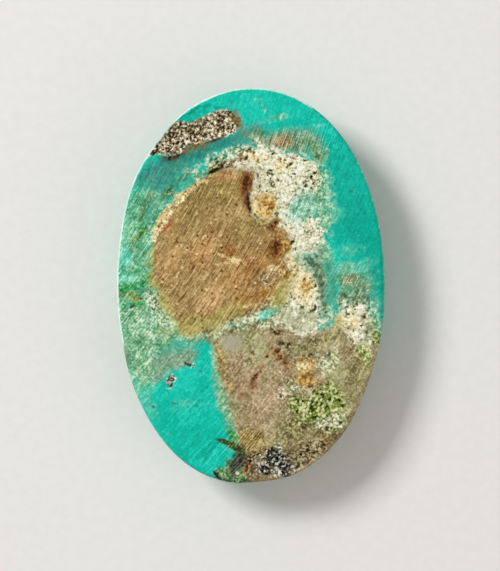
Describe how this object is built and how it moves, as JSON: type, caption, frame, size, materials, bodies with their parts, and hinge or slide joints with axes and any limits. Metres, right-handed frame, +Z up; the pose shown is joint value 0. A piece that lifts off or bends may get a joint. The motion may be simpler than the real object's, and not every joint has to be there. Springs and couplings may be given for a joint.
{
  "type": "turquoise stone",
  "caption": "Oval turquoise cabochon lying on its low polished dome, with the flat ground back up, brown limonite matrix, cream crusts and small natural pits.",
  "frame": {"origin": "middle of the footprint, on the surface the stone rests on", "axes": "+X across the short way of the oval, +Y along the long way, +Z up out of the flat ground back"},
  "size_m": [0.023, 0.034, 0.0055],
  "materials": {
    "turquoise_with_matrix": "flat back ground and left matt with fine parallel scratches; girdle and dome polished to a waxy gloss"
  },
  "bodies": {
    "root": {"turquoise_stone": "turquoise_with_matrix"}
  },
  "joints": []
}
